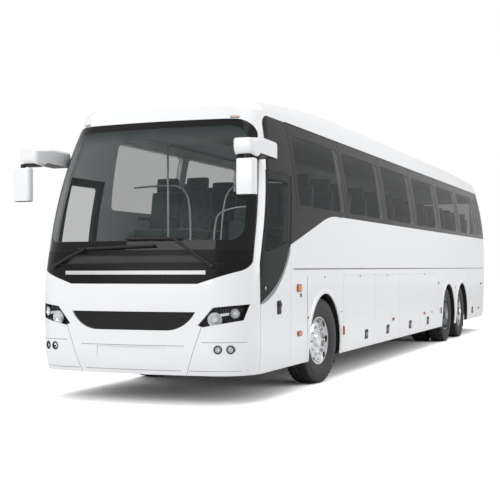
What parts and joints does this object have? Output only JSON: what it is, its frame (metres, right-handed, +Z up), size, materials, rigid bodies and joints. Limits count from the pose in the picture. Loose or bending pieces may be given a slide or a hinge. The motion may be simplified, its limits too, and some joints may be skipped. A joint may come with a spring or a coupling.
{
  "type": "coach bus",
  "caption": "Long-distance coach with a raised saloon, dark window band, side luggage hatches, twin drive wheels ahead of a tag axle and forward-reaching mirrors.",
  "frame": {"origin": "centre of the footprint at ground level", "axes": "+Z up, +Y towards the rear, +X towards the vehicle's left side"},
  "size_m": [2.824, 15.01, 3.52],
  "materials": {
    "body_paint": "glossy white paint",
    "black_panel": "glossy black panel",
    "black_trim": "matt black plastic",
    "tinted_glass": "dark tinted glass",
    "clear_glass": "lightly tinted glass",
    "lamp_lens": "clear lamp lens",
    "tail_lens": "red lamp lens",
    "bright_trim": "bright strip",
    "tyre": "tyre rubber",
    "rim": "bright machined rim",
    "chassis": "black chassis paint",
    "steel": "bare steel",
    "engine": "cast block",
    "floor": "grey floor covering",
    "seat_fabric": "dark woven fabric",
    "grey_plastic": "grey plastic"
  },
  "bodies": {
    "coach": {"roof_panel": "body_paint", "front_mask": "body_paint", "windscreen": "clear_glass", "trim_strip": "bright_trim", "cowl_panel": "black_panel", "front_bumper": "body_paint", "front_lamps": "lamp_lens", "front_grille": "black_trim", "left_side_wall": "body_paint", "right_side_wall": "body_paint", "side_glazing": "tinted_glass", "quarter_panels": "black_panel", "passenger_doors": "body_paint", "passenger_door_glass": "tinted_glass", "skirt_panels": "body_paint", "rear_wall": "body_paint", "rear_window": "tinted_glass", "tail_lamps": "tail_lens", "rear_bumper": "body_paint", "roof_equipment": "body_paint", "floor_deck": "floor", "luggage_tray": "chassis", "chassis_frame": "chassis", "arch_liners": "black_trim", "powertrain": "engine", "front_axle": "chassis", "drive_axle": "chassis", "tag_axle": "chassis", "mirrors": "body_paint", "seats": "seat_fabric", "luggage_racks": "grey_plastic", "dashboard": "black_trim", "steering_wheel": "black_trim", "wipers": "black_trim"},
    "driver_door": {"driver_door": "body_paint", "driver_door_glass": "tinted_glass"},
    "luggage_hatch_left_1": {"luggage_hatch_left_1": "body_paint"},
    "luggage_hatch_left_2": {"luggage_hatch_left_2": "body_paint"},
    "luggage_hatch_left_3": {"luggage_hatch_left_3": "body_paint"},
    "luggage_hatch_left_4": {"luggage_hatch_left_4": "body_paint"},
    "rear_flap_left": {"rear_flap_left": "body_paint"},
    "luggage_hatch_right_1": {"luggage_hatch_right_1": "body_paint"},
    "luggage_hatch_right_2": {"luggage_hatch_right_2": "body_paint"},
    "luggage_hatch_right_3": {"luggage_hatch_right_3": "body_paint"},
    "rear_flap_right": {"rear_flap_right": "body_paint"},
    "engine_lid": {"engine_lid": "body_paint"},
    "knuckle_left": {"knuckle_left": "chassis"},
    "knuckle_right": {"knuckle_right": "chassis"},
    "front_wheel_left": {"front_tyre_left": "tyre", "front_rim_left": "rim"},
    "front_wheel_right": {"front_tyre_right": "tyre", "front_rim_right": "rim"},
    "drive_wheel_left": {"drive_tyre_left": "tyre", "drive_rim_left": "rim"},
    "drive_wheel_right": {"drive_tyre_right": "tyre", "drive_rim_right": "rim"},
    "tag_wheel_left": {"tag_tyre_left": "tyre", "tag_rim_left": "rim"},
    "tag_wheel_right": {"tag_tyre_right": "tyre", "tag_rim_right": "rim"}
  },
  "joints": [
    {"name": "driver_door_hinge", "type": "hinge", "parent": "coach", "child": "driver_door", "pos_m": [1.275, -6.985, 1.2], "axis": [0, 0, -1], "range_deg": [0, 80]},
    {"name": "luggage_hatch_left_1_hinge", "type": "hinge", "parent": "coach", "child": "luggage_hatch_left_1", "pos_m": [1.275, -3.214, 1.315], "axis": [0, -1, 0], "range_deg": [0, 85]},
    {"name": "luggage_hatch_left_2_hinge", "type": "hinge", "parent": "coach", "child": "luggage_hatch_left_2", "pos_m": [1.275, -1.682, 1.315], "axis": [0, -1, 0], "range_deg": [0, 85]},
    {"name": "luggage_hatch_left_3_hinge", "type": "hinge", "parent": "coach", "child": "luggage_hatch_left_3", "pos_m": [1.275, -0.209, 1.315], "axis": [0, -1, 0], "range_deg": [0, 85]},
    {"name": "luggage_hatch_left_4_hinge", "type": "hinge", "parent": "coach", "child": "luggage_hatch_left_4", "pos_m": [1.275, 1.265, 1.315], "axis": [0, -1, 0], "range_deg": [0, 85]},
    {"name": "rear_flap_left_hinge", "type": "hinge", "parent": "coach", "child": "rear_flap_left", "pos_m": [1.275, 5.86, 1.315], "axis": [0, -1, 0], "range_deg": [0, 85]},
    {"name": "luggage_hatch_right_1_hinge", "type": "hinge", "parent": "coach", "child": "luggage_hatch_right_1", "pos_m": [-1.275, -3.214, 1.315], "axis": [0, 1, 0], "range_deg": [0, 85]},
    {"name": "luggage_hatch_right_2_hinge", "type": "hinge", "parent": "coach", "child": "luggage_hatch_right_2", "pos_m": [-1.275, -1.682, 1.315], "axis": [0, 1, 0], "range_deg": [0, 85]},
    {"name": "luggage_hatch_right_3_hinge", "type": "hinge", "parent": "coach", "child": "luggage_hatch_right_3", "pos_m": [-1.275, -0.209, 1.315], "axis": [0, 1, 0], "range_deg": [0, 85]},
    {"name": "rear_flap_right_hinge", "type": "hinge", "parent": "coach", "child": "rear_flap_right", "pos_m": [-1.275, 5.86, 1.315], "axis": [0, 1, 0], "range_deg": [0, 85]},
    {"name": "engine_lid_hinge", "type": "hinge", "parent": "coach", "child": "engine_lid", "pos_m": [0, 7.5, 1.62], "axis": [1, 0, 0], "range_deg": [0, 75]},
    {"name": "steer_left", "type": "hinge", "parent": "coach", "child": "knuckle_left", "pos_m": [0.905, -4.79, 0.522], "axis": [0, 0, 1], "range_deg": [-39, 51]},
    {"name": "steer_right", "type": "hinge", "parent": "coach", "child": "knuckle_right", "pos_m": [-0.905, -4.79, 0.522], "axis": [0, 0, 1], "range_deg": [-39, 51]},
    {"name": "front_left_spin", "type": "hinge", "parent": "knuckle_left", "child": "front_wheel_left", "pos_m": [1.08899, -4.80934, 0.522], "axis": [0.9945, -0.1045, 0], "continuous": true},
    {"name": "front_right_spin", "type": "hinge", "parent": "knuckle_right", "child": "front_wheel_right", "pos_m": [-1.08899, -4.77066, 0.522], "axis": [0.9945, -0.1045, 0], "continuous": true},
    {"name": "drive_left_spin", "type": "hinge", "parent": "coach", "child": "drive_wheel_left", "pos_m": [0.92, 3.045, 0.522], "axis": [1, 0, 0], "continuous": true},
    {"name": "drive_right_spin", "type": "hinge", "parent": "coach", "child": "drive_wheel_right", "pos_m": [-0.92, 3.045, 0.522], "axis": [1, 0, 0], "continuous": true},
    {"name": "tag_left_spin", "type": "hinge", "parent": "coach", "child": "tag_wheel_left", "pos_m": [1.09, 4.445, 0.522], "axis": [1, 0, 0], "continuous": true},
    {"name": "tag_right_spin", "type": "hinge", "parent": "coach", "child": "tag_wheel_right", "pos_m": [-1.09, 4.445, 0.522], "axis": [1, 0, 0], "continuous": true}
  ],
  "couplings": [
    {"joint": "steer_right", "follows": "steer_left", "ratio": 1}
  ]
}
